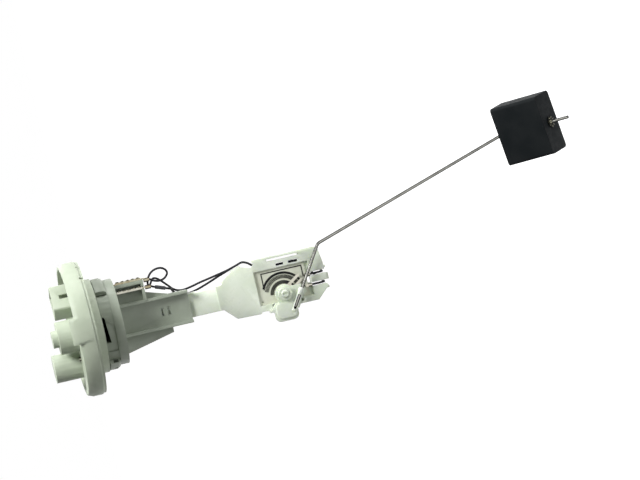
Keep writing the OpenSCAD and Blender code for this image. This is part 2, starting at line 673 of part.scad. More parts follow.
lead_b_route = [
    below_holder(-5.8, -6.5, 1.8), below_holder(-5.8, -6.5, 4.8), below_holder(-6.8, -6.2, 7.2),
    below_holder(-9.6, -4.6, 15.2), below_holder(-10.6, -2.4, 18), below_holder(-11.2, 1.6, 19.2),
    below_holder(-11.8, 5.6, 19.6), below_holder(-13, 9, 20.4), below_holder(-15, 10.5, 22.8),
    below_holder(-16.8, 10.5, 27), below_holder(-16.8, 10.2, 32), below_holder(-15.6, 9.9, 38),
    at_tray(11.7, 9.5, 48), at_tray(14.3, 8.6, 41), at_tray(16.6, 7.3, 34.4), at_tray(18.9, 5.7, 28),
    at_tray(20.2, 3.5, 23.6), at_tray(19, 1.9, 20), at_tray(16.4, 1.1, 16.8), at_tray(14.4, 0.9, 12.8),
    at_tray(13.6, 0.9, 8), at_tray(13.6, 0.9, -6), at_tray(13.6, 3, -9.4), at_tray(13.6, 5.6, -11.4),
    at_tray(12.6, 7.4, -14), at_tray(9, 7.4, -18), at_tray(-2, 7.4, -27.6), at_tray(-4.4, 7.2, -29.6),
    at_tray(-5.2, 5.6, -30.2), at_tray(tab_x[1], 2.6, -30), at_tray(tab_x[1], -0.4, -28.4),
    at_tray(tab_x[1], tab_y, -25.4), at_tray(tab_x[1], tab_y, -card_down - 1.2)];
sleeve_ends = [below_holder(-6.8, -6.2, 7.2), below_holder(-9.6, -4.6, 15.2)];

module lead_a() color([0.12, 0.12, 0.14]) tube(lead_a_route, lead_d);
module lead_b() color([0.12, 0.12, 0.14]) tube(lead_b_route, lead_d);
module lead_sleeve() color([0.22, 0.23, 0.24]) {
    along = unit(sleeve_ends[1] - sleeve_ends[0]);
    difference() {
        bar(sleeve_ends[0] + 0.6 * along, sleeve_ends[1] - 0.8 * along, sleeve_d / 2);
        bar(sleeve_ends[0], sleeve_ends[1], lead_d / 2 + snug);
    }
}

flange_cap();
pin_a();
pin_b();
carrier_arm();
terminal_a();
terminal_b();
sender_bracket();
resistor_card();
outer_track();
contact_segments();
inner_track();
card_tab_a();
card_tab_b();
rotor();
wiper();
float_wire();
float_block();
push_nut();
lead_a();
lead_b();
lead_sleeve();
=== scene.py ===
"""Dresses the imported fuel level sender: moulded plastics, printed card, wire, foam float, leads and studio."""
import json
import math

import bmesh
import bpy
from bpy.props import FloatProperty, FloatVectorProperty, IntProperty, PointerProperty
from mathutils import Matrix, Vector

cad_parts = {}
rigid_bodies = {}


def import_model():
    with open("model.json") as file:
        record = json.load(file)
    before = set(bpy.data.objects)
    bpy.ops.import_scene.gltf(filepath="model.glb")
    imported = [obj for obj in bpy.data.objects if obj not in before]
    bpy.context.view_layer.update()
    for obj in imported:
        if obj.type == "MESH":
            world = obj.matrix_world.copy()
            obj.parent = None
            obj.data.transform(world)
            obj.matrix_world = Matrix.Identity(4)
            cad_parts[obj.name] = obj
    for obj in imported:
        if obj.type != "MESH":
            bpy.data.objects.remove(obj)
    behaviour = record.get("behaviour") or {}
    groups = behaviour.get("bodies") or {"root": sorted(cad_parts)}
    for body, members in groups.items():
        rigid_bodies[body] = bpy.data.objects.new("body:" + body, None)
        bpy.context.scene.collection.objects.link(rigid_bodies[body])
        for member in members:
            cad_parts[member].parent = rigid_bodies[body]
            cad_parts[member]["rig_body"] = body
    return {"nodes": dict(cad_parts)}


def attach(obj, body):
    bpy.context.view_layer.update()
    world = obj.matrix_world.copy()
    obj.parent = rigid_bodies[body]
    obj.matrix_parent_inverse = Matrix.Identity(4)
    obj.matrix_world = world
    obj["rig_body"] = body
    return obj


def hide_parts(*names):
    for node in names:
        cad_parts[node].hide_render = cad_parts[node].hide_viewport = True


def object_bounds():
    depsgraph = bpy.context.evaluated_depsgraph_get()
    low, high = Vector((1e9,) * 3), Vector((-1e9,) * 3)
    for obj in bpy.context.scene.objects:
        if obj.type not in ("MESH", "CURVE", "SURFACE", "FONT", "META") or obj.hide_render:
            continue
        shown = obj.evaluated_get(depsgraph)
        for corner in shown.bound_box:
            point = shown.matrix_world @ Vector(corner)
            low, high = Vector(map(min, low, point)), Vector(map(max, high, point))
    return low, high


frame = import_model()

bl_info = {
    "name": "Fuel level sender",
    "version": (1, 0, 0),
    "blender": (4, 5, 0),
    "location": "View3D > Sidebar > Sender",
    "description": "Finishes and studio for a fuel level sender",
    "category": "Object",
}

MM = 0.001
CAD_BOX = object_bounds()

# Corner where the wire bends into the float, and the direction along the float
ELBOW = Vector((0.0664102, -0.0065, -0.3081443))
ALONG_FLOAT = Vector((0.053437, -0.642788, -0.764178))
NUT_DOWN = 0.0421


def below_holder(x, y, down):
    """A point measured from the terminal holder's foot."""
    return (0.0244 + x, y, -0.0413 - down)


def at_tray(x, y, up):
    """A point measured up from the pivot."""
    return (x, y, up - 0.136)


LEAD_A = [
    below_holder(-0.0008, -0.006, 0.0018), below_holder(-0.0008, -0.006, 0.0048), below_holder(-0.0026, -0.006, 0.008),
    below_holder(-0.0034, -0.006, 0.0116), below_holder(-0.0024, -0.0058, 0.0154), below_holder(0.0004, -0.0052, 0.0179),
    below_holder(0.0032, -0.0046, 0.0172), below_holder(0.005, -0.004, 0.0142), below_holder(0.0048, -0.0034, 0.0102),
    below_holder(0.0028, -0.003, 0.0066), below_holder(-0.0008, -0.0024, 0.0042), below_holder(-0.0044, -0.001, 0.0036),
    below_holder(-0.0054, 0.001, 0.0048), below_holder(-0.0036, 0.0026, 0.0062), below_holder(-0.0014, 0.0028, 0.0078),
    below_holder(-0.0014, 0.0028, 0.01), below_holder(-0.0032, 0.003, 0.0126), below_holder(-0.0064, 0.0046, 0.0158),
    below_holder(-0.0094, 0.0076, 0.0188), below_holder(-0.0116, 0.0098, 0.021), below_holder(-0.0132, 0.0105, 0.024),
    below_holder(-0.0138, 0.0104, 0.028), below_holder(-0.0128, 0.0098, 0.034), below_holder(-0.0114, 0.0092, 0.04),
    at_tray(0.0143, 0.0082, 0.048), at_tray(0.0157, 0.007, 0.041), at_tray(0.0171, 0.0056, 0.0344),
    at_tray(0.019, 0.0038, 0.028), at_tray(0.0204, 0.0016, 0.0236), at_tray(0.019, 0, 0.02),
    at_tray(0.0164, -0.0008, 0.0168), at_tray(0.0144, -0.00095, 0.0128), at_tray(0.0136, -0.00095, 0.008),
    at_tray(0.0136, -0.00095, -0.011), at_tray(0.0136, 0.0016, -0.0144), at_tray(0.0136, 0.005, -0.0168),
    at_tray(0.0128, 0.0072, -0.0194), at_tray(0.0104, 0.0074, -0.023), at_tray(0.0065, 0.0074, -0.0275),
    at_tray(0.0034, 0.0072, -0.0298), at_tray(0.0022, 0.0056, -0.0302), at_tray(0.0021, 0.0026, -0.03),
    at_tray(0.0021, -0.0004, -0.0284), at_tray(0.0021, -0.002, -0.0254), at_tray(0.0021, -0.002, -0.0192)]
LEAD_B = [
    below_holder(-0.0058, -0.0065, 0.0018), below_holder(-0.0058, -0.0065, 0.0048), below_holder(-0.0068, -0.0062, 0.0072),
    below_holder(-0.0096, -0.0046, 0.0152), below_holder(-0.0106, -0.0024, 0.018), below_holder(-0.0112, 0.0016, 0.0192),
    below_holder(-0.0118, 0.0056, 0.0196), below_holder(-0.013, 0.009, 0.0204), below_holder(-0.015, 0.0105, 0.0228),
    below_holder(-0.0168, 0.0105, 0.027), below_holder(-0.0168, 0.0102, 0.032), below_holder(-0.0156, 0.0099, 0.038),
    at_tray(0.0117, 0.0095, 0.048), at_tray(0.0143, 0.0086, 0.041), at_tray(0.0166, 0.0073, 0.0344),
    at_tray(0.0189, 0.0057, 0.028), at_tray(0.0202, 0.0035, 0.0236), at_tray(0.019, 0.0019, 0.02),
    at_tray(0.0164, 0.0011, 0.0168), at_tray(0.0144, 0.0009, 0.0128), at_tray(0.0136, 0.0009, 0.008),
    at_tray(0.0136, 0.0009, -0.006), at_tray(0.0136, 0.003, -0.0094), at_tray(0.0136, 0.0056, -0.0114),
    at_tray(0.0126, 0.0074, -0.014), at_tray(0.009, 0.0074, -0.018), at_tray(-0.002, 0.0074, -0.0276),
    at_tray(-0.0044, 0.0072, -0.0296), at_tray(-0.0052, 0.0056, -0.0302), at_tray(-0.0053, 0.0026, -0.03),
    at_tray(-0.0053, -0.0004, -0.0284), at_tray(-0.0053, -0.002, -0.0254), at_tray(-0.0053, -0.002, -0.0192)]


# Properties

def length(name, description, default_mm):
    """A size that a user can change, in metres, given in millimetres here."""
    return FloatProperty(name=name, description=description, default=default_mm * MM, subtype="DISTANCE", unit="LENGTH",
                         precision=5)


def colour(name, description, default):
    return FloatVectorProperty(name=name, description=description, default=default, subtype="COLOR", size=3, min=0, max=1)


def amount(name, description, default, low=0.0, high=1.0):
    return FloatProperty(name=name, description=description, default=default, min=low, max=high)


class SENDER_PG_plastics(bpy.types.PropertyGroup):
    cap: colour("Cap", "Lit colour of the flange cap", (0.50, 0.56, 0.44))
    cap_deep: colour("Cap shade", "Cloudy patches in the cap's plastic", (0.44, 0.50, 0.385))
    carrier: colour("Carrier", "Colour of the carrier arm", (0.335, 0.375, 0.305))
    carrier_deep: colour("Carrier shade", "Cloudy patches in the carrier's plastic", (0.28, 0.32, 0.25))
    # Painted shade: this near-black colour stands for the shade inside the web's clip slots and the snap clip's recess
    grime: colour("Grime", "Colour of the dirt round the clips in the web", (0.06, 0.07, 0.055))
    natural: colour("Natural", "Colour of the natural bracket and rotor", (0.785, 0.84, 0.73))
    natural_deep: colour("Natural shade", "Thicker places in the natural plastic", (0.67, 0.74, 0.61))
    edge: length("Edge", "Radius of the moulded edges", 0.35)
    cloud: FloatProperty(name="Cloud scale", description="Cloudy patches per metre", default=60, min=5, max=400)
    grain: FloatProperty(name="Grain scale", description="Mould grain per metre", default=2600, min=200, max=9000)


class SENDER_PG_card(bpy.types.PropertyGroup):
    ceramic: colour("Ceramic", "Colour of the card", (0.75, 0.78, 0.66))
    ceramic_deep: colour("Ceramic shade", "Flux stains on the card", (0.62, 0.64, 0.50))
    ink: colour("Ink", "Colour of the black resistor ink", (0.010, 0.011, 0.012))
    ink_worn: colour("Worn ink", "Rubbed places in the ink", (0.028, 0.028, 0.026))
    silver: colour("Conductor", "Colour of the printed conductor", (0.085, 0.088, 0.070))


class SENDER_PG_metals(bpy.types.PropertyGroup):
    # Besides the tarnish, a near-black copy of each shade colour here is painted shade on the metal's edges that turn
    # away from the view
    steel: colour("Steel", "Colour of the drawn wire", (0.29, 0.29, 0.265))
    steel_deep: colour("Steel shade", "Drawing marks in the wire", (0.12, 0.12, 0.11))
    brass: colour("Tinned brass", "Colour of the terminals", (0.46, 0.45, 0.33))
    brass_deep: colour("Tarnish", "Tarnish on the terminals", (0.24, 0.16, 0.08))
    nickel: colour("Nickel silver", "Colour of the wiper and the card's tabs", (0.55, 0.54, 0.46))
    nickel_deep: colour("Nickel shade", "Tarnish on the wiper and tabs", (0.32, 0.30, 0.22))
    spring: colour("Spring steel", "Colour of the push nut", (0.36, 0.35, 0.26))
    spring_deep: colour("Spring shade", "Dark places on the push nut", (0.08, 0.08, 0.05))
    notch_pitch: length("Notch pitch", "Distance between the notches of the terminals' lips", 3.6)
    teeth: IntProperty(name="Nut teeth", description="Ridges round the push nut", default=8, min=3, max=24)


class SENDER_PG_float(bpy.types.PropertyGroup):
    foam: colour("Foam", "Colour of the float", (0.0075, 0.0095, 0.0105))
    foam_light: colour("Foam highlights", "Colour of the cut cells", (0.014, 0.016, 0.017))
    edge: length("Edge", "Radius of the float's edges", 1.8)
    cell: FloatProperty(name="Cell scale", description="Foam cells per metre", default=1500, min=200, max=6000)


class SENDER_PG_leads(bpy.types.PropertyGroup):
    diameter: length("Diameter", "Diameter of a lead over its insulation", 1.5)
    sleeve: length("Sleeve", "Diameter of the sleeve", 2.6)
    sides: IntProperty(name="Sides", description="Sides of a lead's tube", default=16, min=6, max=48)
    insulation: colour("Insulation", "Colour of the leads", (0.012, 0.012, 0.016))
    dusty: colour("Dust", "Dusty places on the leads", (0.030, 0.030, 0.034))
    sleeve_colour: colour("Sleeve colour", "Colour of the sleeve", (0.035, 0.038, 0.042))


class SENDER_PG_stage(bpy.types.PropertyGroup):
    aim: FloatVectorProperty(name="Aim", description="Point in the middle of the picture", size=3, subtype="TRANSLATION",
                             default=(0.0234, 0.0, -0.1691), precision=4)
    distance: FloatProperty(name="Distance", description="Camera distance", default=3.0, unit="LENGTH")
    turn: FloatProperty(name="Turn", description="Camera turned towards the flange's outer face", default=7.5)
    tilt: FloatProperty(name="Tilt", description="Camera turned about the stem", default=-1.7)
    roll: FloatProperty(name="Roll", description="Lean of the stem in the picture", default=12.9)
    lens: FloatProperty(name="Lens", description="Focal length for a 36 mm wide sensor", default=242.4)
    drop: length("Drop", "Space between the part's lowest point and the floor", 90)
    key: FloatProperty(name="Key light", description="Power of the key lamp in watts", default=40)
    side: FloatProperty(name="Side light", description="Power of the lamp on the +X side in watts", default=16)
    back: FloatProperty(name="Back light", description="Power of the lamp behind the part in watts", default=9)
    world: FloatProperty(name="Room light", description="Strength of the light from the room", default=0.05)
    floor_glow: FloatProperty(name="Floor white", description="How much the camera sees the floor as white", default=0.95)
    floor_colour: colour("Floor", "Colour of the floor", (0.62, 0.62, 0.62))


# Node trees

def add(tree, kind, inputs=None, **settings):
    """Adds a node; an input's value is a constant or the socket that feeds it."""
    made = tree.nodes.new(kind)
    for name, value in settings.items():
        setattr(made, name, value)
    for name, value in (inputs or {}).items():
        socket = made.inputs[name]
        if isinstance(value, bpy.types.NodeSocket):
            tree.links.new(value, socket)
        else:
            socket.default_value = value
    return made


def rgba(value):
    return (*value[:3], 1.0)


def ramp(tree, factor, stops):
    made = add(tree, "ShaderNodeValToRGB", {"Fac": factor})
    elements = made.color_ramp.elements
    for i, (place, grey) in enumerate(stops):
        element = elements[i] if i < 2 else elements.new(place)
        element.position = place
        element.color = (grey, grey, grey, 1)
    return made.outputs["Color"]


def blend_colours(tree, factor, a, b):
    return add(tree, "ShaderNodeMix", {"Factor": factor, 6: a, 7: b}, data_type="RGBA").outputs[2]


def new_group(name, inputs, outputs, build):
    """A shader node group with named sockets, built once."""
    if name in bpy.data.node_groups:
        return bpy.data.node_groups[name]
    tree = bpy.data.node_groups.new(name, "ShaderNodeTree")
    kinds = {"colour": "NodeSocketColor", "number": "NodeSocketFloat"}
    for label, kind in inputs:
        tree.interface.new_socket(name=label, in_out="INPUT", socket_type=kinds[kind])
    for label, kind in outputs:
        tree.interface.new_socket(name=label, in_out="OUTPUT", socket_type=kinds[kind])
    given = add(tree, "NodeGroupInput")
    results = add(tree, "NodeGroupOutput")
    for label, socket in build(tree, given.outputs).items():
        tree.links.new(socket, results.inputs[label])
    return tree


def noise(tree, scale, detail=3.0, roughness=0.55, stretch=None):
    """Noise on the piece's own coordinates, drawn out along one axis where stretch is given."""
    where = add(tree, "ShaderNodeTexCoord").outputs["Object"]
    if stretch:
        where = add(tree, "ShaderNodeMapping", {"Vector": where, "Scale": stretch}).outputs["Vector"]
    return add(tree, "ShaderNodeTexNoise", {"Vector": where, "Scale": scale, "Detail": detail, "Roughness": roughness}
               ).outputs["Fac"]


def moulded_surface():
    """Moulded plastic: cloudy colour, fine mould grain and an uneven gloss."""
    def build(tree, given):
        clouds = ramp(tree, noise(tree, given["Cloud Scale"]), [(0.35, 0), (0.68, 1)])
        dust = ramp(tree, noise(tree, 900, 6, 0.7), [(0.60, 0), (0.78, 1)])
        clean = blend_colours(tree, clouds, given["Color"], given["Shade"])
        faint = add(tree, "ShaderNodeMath", {0: dust, 1: 0.22}, operation="MULTIPLY").outputs[0]
        colour_out = blend_colours(tree, faint, clean, given["Shade"])
        gloss = add(tree, "ShaderNodeMapRange", {"Value": noise(tree, 240, 4), "From Min": 0.3, "From Max": 0.7,
                                                 "To Min": given["Gloss"], "To Max": given["Matt"]}).outputs["Result"]
        return {"Color": colour_out, "Roughness": gloss, "Height": noise(tree, given["Grain Scale"], 2)}
    return new_group("moulded_surface",
                     [("Color", "colour"), ("Shade", "colour"), ("Cloud Scale", "number"), ("Grain Scale", "number"),
                      ("Gloss", "number"), ("Matt", "number")],
                     [("Color", "colour"), ("Roughness", "number"), ("Height", "number")], build)


def worn_metal():
    """Bare metal with drawing marks, cloudy tarnish and uneven gloss."""
    def build(tree, given):
        marks = noise(tree, given["Mark Scale"], 4, 0.6, (1, 1, 0.12))
        tarnish = ramp(tree, noise(tree, 180, 5), [(0.42, 0), (0.66, 1)])
        share = add(tree, "ShaderNodeMath", {0: tarnish, 1: given["Tarnish"]}, operation="MULTIPLY").outputs[0]
        colour_out = blend_colours(tree, share, given["Color"], given["Shade"])
        rough = add(tree, "ShaderNodeMapRange", {"Value": marks, "From Min": 0.3, "From Max": 0.7,
                                                 "To Min": given["Gloss"], "To Max": given["Matt"]}).outputs["Result"]
        return {"Color": colour_out, "Roughness": rough, "Height": marks}
    return new_group("worn_metal",
                     [("Color", "colour"), ("Shade", "colour"), ("Mark Scale", "number"), ("Tarnish", "number"),
                      ("Gloss", "number"), ("Matt", "number")],
                     [("Color", "colour"), ("Roughness", "number"), ("Height", "number")], build)


def finish(name, group, values, bump, bump_depth, shader, rim_shade=None):
    """A material from one surface group; shader holds the plain values of the Principled BSDF.

    With a rim colour, the surface takes that colour where it turns away from the view, as painted shade along its
    edges.
    """
    material = bpy.data.materials.new("dressed_" + name)
    material.use_nodes = True
    tree = material.node_tree
    tree.nodes.clear()
    surface = add(tree, "ShaderNodeGroup", node_tree=group)
    for label, value in values.items():
        surface.inputs[label].default_value = value
    normal = add(tree, "ShaderNodeBump", {"Strength": bump, "Distance": bump_depth,
                                          "Height": surface.outputs["Height"]}).outputs["Normal"]
    base = surface.outputs["Color"]
    if rim_shade:
        # Painted shade: darkens the edges that turn away from the view
        rim_shade_mask = ramp(tree, add(tree, "ShaderNodeLayerWeight", {"Blend": 0.5}).outputs["Facing"], [(0.05, 0), (0.20, 1)])
        base = blend_colours(tree, rim_shade_mask, base, rgba(rim_shade))
    body = add(tree, "ShaderNodeBsdfPrincipled", {"Base Color": base, "Roughness": surface.outputs["Roughness"],
                                                  "Normal": normal})
    for label, value in shader.items():
        body.inputs[label].default_value = value
    out = add(tree, "ShaderNodeOutputMaterial")
    tree.links.new(body.outputs["BSDF"], out.inputs["Surface"])
    return material


def plastic(name, lit, deep, gloss, matt, see_through=0.0, depth_mm=1.0, shine=0.5):
    look = bpy.context.scene.sender_plastics
    return finish(name, moulded_surface(),
                  {"Color": rgba(lit), "Shade": rgba(deep), "Cloud Scale": look.cloud, "Grain Scale": look.grain,
                   "Gloss": gloss, "Matt": matt},
                  0.25, 0.00012,
                  {"IOR": 1.48, "Specular IOR Level": shine, "Subsurface Weight": see_through,
                   "Subsurface Radius": (1.0, 1.0, 0.8), "Subsurface Scale": depth_mm * MM})


def metal(name, lit, deep, tarnish, gloss, matt):
    # The near-black copy of the shade colour is painted shade on the edges that turn away from the view
    return finish(name, worn_metal(),
                  {"Color": rgba(lit), "Shade": rgba(deep), "Mark Scale": 1800, "Tarnish": tarnish, "Gloss": gloss,
                   "Matt": matt},
                  0.15, 0.00005, {"Metallic": 1.0}, [0.06 * part for part in deep])


# Pieces

def link(name, mesh, material):
    """A new piece in the scene with one material."""
    piece = bpy.data.objects.new(name, mesh)
    bpy.context.scene.collection.objects.link(piece)
    mesh.materials.clear()
    mesh.materials.append(material)
    return piece


def bake_modifiers(piece):
    """Makes the piece's modified shape its plain mesh."""
    evaluated = piece.evaluated_get(bpy.context.evaluated_depsgraph_get())
    mesh = bpy.data.meshes.new_from_object(evaluated)
    piece.modifiers.clear()
    piece.data = mesh
    return piece


def geometry_tree(name, inputs, build):
    """A geometry node group with named inputs that ends in realized, painted geometry."""
    if name in bpy.data.node_groups:
        return bpy.data.node_groups[name]
    tree = bpy.data.node_groups.new(name, "GeometryNodeTree")
    tree.interface.new_socket(name="Geometry", in_out="INPUT", socket_type="NodeSocketGeometry")
    for label, kind in inputs:
        tree.interface.new_socket(name=label, in_out="INPUT", socket_type=kind)
    tree.interface.new_socket(name="Material", in_out="INPUT", socket_type="NodeSocketMaterial")
    tree.interface.new_socket(name="Geometry", in_out="OUTPUT", socket_type="NodeSocketGeometry")
    given = add(tree, "NodeGroupInput").outputs
    real = add(tree, "GeometryNodeRealizeInstances", {"Geometry": build(tree, given)}).outputs[0]
    smooth = add(tree, "GeometryNodeSetShadeSmooth", {"Geometry": real}).outputs[0]
    painted = add(tree, "GeometryNodeSetMaterial", {"Geometry": smooth, "Material": given["Material"]}).outputs[0]
    add(tree, "NodeGroupOutput", {"Geometry": painted})
    return tree


def grow(piece, tree, values):
    """Runs a geometry node group on a piece and keeps the result as its plain mesh."""
    modifier = piece.modifiers.new(tree.name, "NODES")
    modifier.node_group = tree
    for item in tree.interface.items_tree:
        if item.in_out == "INPUT" and item.name in values:
            modifier[item.identifier] = values[item.name]
    return bpy.data.meshes.new_from_object(piece.evaluated_get(bpy.context.evaluated_depsgraph_get()))


def tube_tree():
    """A round tube along a smooth curve through given points."""
    def build(tree, given):
        line = add(tree, "GeometryNodeCurveSplineType", {"Curve": given["Geometry"]}, spline_type="CATMULL_ROM").outputs[0]
        line = add(tree, "GeometryNodeSetSplineResolution", {"Geometry": line, "Resolution": given["Steps"]}).outputs[0]
        ring = add(tree, "GeometryNodeCurvePrimitiveCircle", {"Resolution": given["Sides"], "Radius": given["Radius"]}
                   ).outputs[0]
        return add(tree, "GeometryNodeCurveToMesh", {"Curve": line, "Profile Curve": ring, "Fill Caps": True}).outputs[0]
    return geometry_tree("tube_along", [("Steps", "NodeSocketInt"), ("Sides", "NodeSocketInt"),
                                        ("Radius", "NodeSocketFloat")], build)


def tube(name, points, tree, values):
    """A tube piece along points."""
    data = bpy.data.curves.new(name + "_route", "CURVE")
    data.dimensions = "3D"
    spline = data.splines.new("POLY")
    spline.points.add(len(points) - 1)
    for point, place in zip(spline.points, points):
        point.co = (*place, 1)
    route = bpy.data.objects.new(name + "_route", data)
    bpy.context.scene.collection.objects.link(route)
    mesh = grow(route, tree, values)
    bpy.data.objects.remove(route)
    return link(name, mesh, values["Material"])


def repeat_tree():
    """Copies of the given shape, each one step further and one turn about Z on from the last."""
    def build(tree, given):
        line = add(tree, "GeometryNodeMeshLine", {"Count": given["Count"], "Start Location": (0, 0, 0),
                                                  "Offset": given["Step"]}).outputs[0]
        angle = add(tree, "ShaderNodeMath", {0: add(tree, "GeometryNodeInputIndex").outputs[0], 1: given["Turn"]},
                    operation="MULTIPLY").outputs[0]
        turned = add(tree, "ShaderNodeCombineXYZ", {"Z": angle}).outputs[0]
        return add(tree, "GeometryNodeInstanceOnPoints", {"Points": line, "Instance": given["Geometry"],
                                                          "Rotation": turned}).outputs[0]
    return geometry_tree("repeat", [("Count", "NodeSocketInt"), ("Step", "NodeSocketVector"),
                                    ("Turn", "NodeSocketFloat")], build)


def block(low, high):
    """A box mesh between two corners."""
    mesh = bpy.data.meshes.new("block")
    bm = bmesh.new()
    size = Vector(high) - Vector(low)
    bmesh.ops.create_cube(bm, size=1, matrix=Matrix.Translation((Vector(low) + Vector(high)) / 2) @
                          Matrix.Diagonal((*size, 1)))
    bm.to_mesh(mesh)
    bm.free()
    return mesh


def curved_plate(name, inner, outer, turns, low, top_start, top_end, steps=24):
    """A plate bent round Z on the near side, between two turns in degrees, whose top edge slopes from end to end."""
    mesh = bpy.data.meshes.new(name)
    bm = bmesh.new()
    ribs = []
    for i in range(steps + 1):
        share = i / steps
        turn = math.radians(turns[0] + (turns[1] - turns[0]) * share)
        top = top_start + (top_end - top_start) * share
        ribs.append([bm.verts.new((radius * math.sin(turn), -radius * math.cos(turn), z))
                     for radius, z in ((inner, low), (outer, low), (outer, top), (inner, top))])
    for here, there in zip(ribs, ribs[1:]):
        for i in range(4):
            bm.faces.new((here[i], here[(i + 1) % 4], there[(i + 1) % 4], there[i]))
    bm.faces.new(reversed(ribs[0]))
    bm.faces.new(ribs[-1])
    bmesh.ops.recalc_face_normals(bm, faces=bm.faces)
    bm.to_mesh(mesh)
    bm.free()
    return mesh


def repeated(name, mesh, tree, values):
    """A piece of many copies of one mesh."""
    seed = bpy.data.objects.new(name + "_seed", mesh)
    bpy.context.scene.collection.objects.link(seed)
    made = grow(seed, tree, values)
    bpy.data.objects.remove(seed)
    return link(name, made, values["Material"])


def body_of(node):
    return frame["nodes"][node]["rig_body"]


def softened(node, material, edge, segments=2):
    """A copy of a solid with rounded edges and smooth curved faces, which is shown in its place."""
    mesh = bpy.data.meshes.new(node + "_soft")
    bm = bmesh.new()
    bm.from_mesh(frame["nodes"][node].data)
    bmesh.ops.remove_doubles(bm, verts=bm.verts, dist=2e-6)
    bmesh.ops.dissolve_limit(bm, angle_limit=math.radians(0.5), verts=bm.verts, edges=bm.edges)
    bm.to_mesh(mesh)
    bm.free()
    mesh.polygons.foreach_set("use_smooth", [True] * len(mesh.polygons))
    piece = link(node + "_soft", mesh, material)
    bevel = piece.modifiers.new("edges", "BEVEL")
    bevel.width = edge
    bevel.segments = segments
    bevel.limit_method = "ANGLE"
    bevel.angle_limit = math.radians(32)
    bevel.harden_normals = True
    bake_modifiers(piece)
    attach(piece, body_of(node))
    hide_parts(node)
    return piece


def paint(node, material):
    """Gives a solid that is shown as it is its own material."""
    solid = frame["nodes"][node]
    solid.data.materials.clear()
    solid.data.materials.append(material)


class SENDER_OT_cap(bpy.types.Operator):
    """Finishes the flange cap"""
    bl_idname = "sender.cap"
    bl_label = "Flange cap"

    def execute(self, context):
        scene = context.scene
        look = scene.sender_plastics
        softened("flange_cap", plastic("cap_plastic", look.cap, look.cap_deep, 0.44, 0.60, 0.12, 1.2),
                 look.edge)
        return {"FINISHED"}


class SENDER_OT_carrier(bpy.types.Operator):
    """Finishes the carrier arm"""
    bl_idname = "sender.carrier"
    bl_label = "Carrier arm"

    def execute(self, context):
        scene = context.scene
        look = scene.sender_plastics
        moulded = plastic("carrier_plastic", look.carrier, look.carrier_deep, 0.36, 0.52, 0.05)
        softened("carrier_arm", moulded, look.edge * 0.6)
        for name, turns, top_start, top_end in (("window_tab", (-26, 16), -0.0096, -0.0078),
                                                ("window_wall", (-46, -26), -0.0061, -0.0061)):
            plate = link(name, curved_plate(name, 0.0274, 0.0286, turns, -0.0142, top_start, top_end), moulded)
            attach(plate, body_of("carrier_arm"))
        # Painted shade: thin near-black blocks in the web's two clip slots and at the snap clip's recess stand for the
        # shade in those hollows
        corner = Vector((-0.0034, -0.00355, -0.0555))
        grime = repeated("slot_grime", block(corner, corner + Vector((0.0048, 0.0002, 0.0009))), repeat_tree(),
                         {"Count": 2, "Step": (0, 0, 0.0047), "Turn": 0.0,
                          "Material": plastic("grime", look.grime, look.carrier_deep, 0.6, 0.8, shine=0.1)})
        pocket_shade = link("clip_pocket", block((0.0296, -0.0003, -0.0122), (0.0316, 0.0002, -0.0088)), grime.data.materials[0])
        pocket_shade.data.transform(Matrix.Rotation(math.radians(212), 4, "Z"))
        for piece in (grime, pocket_shade):
            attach(piece, body_of("carrier_arm"))
        return {"FINISHED"}


class SENDER_OT_bracket(bpy.types.Operator):
    """Finishes the sender bracket and the rotor, which are of natural plastic"""
    bl_idname = "sender.bracket"
    bl_label = "Bracket and rotor"

    def execute(self, context):
        scene = context.scene
        look = scene.sender_plastics
        natural = plastic("natural_plastic", look.natural, look.natural_deep, 0.22, 0.40, 0.55, 2.5)
        softened("sender_bracket", natural, look.edge)
        softened("rotor", natural, look.edge * 1.4, 3)
        return {"FINISHED"}


class SENDER_OT_card(bpy.types.Operator):
    """Finishes the resistor card and its printed tracks"""
    bl_idname = "sender.card"
    bl_label = "Resistor card"

    def execute(self, context):
        scene = context.scene
        look = scene.sender_card
        paint("resistor_card", plastic("card_ceramic", look.ceramic, look.ceramic_deep, 0.45, 0.65))
        paint("outer_track", plastic("track_ink", look.ink, look.ink_worn, 0.35, 0.5, shine=0.1))
        silver = plastic("track_conductor", look.silver, look.ink, 0.35, 0.5, shine=0.2)
        paint("contact_segments", silver)
        paint("inner_track", silver)
        return {"FINISHED"}


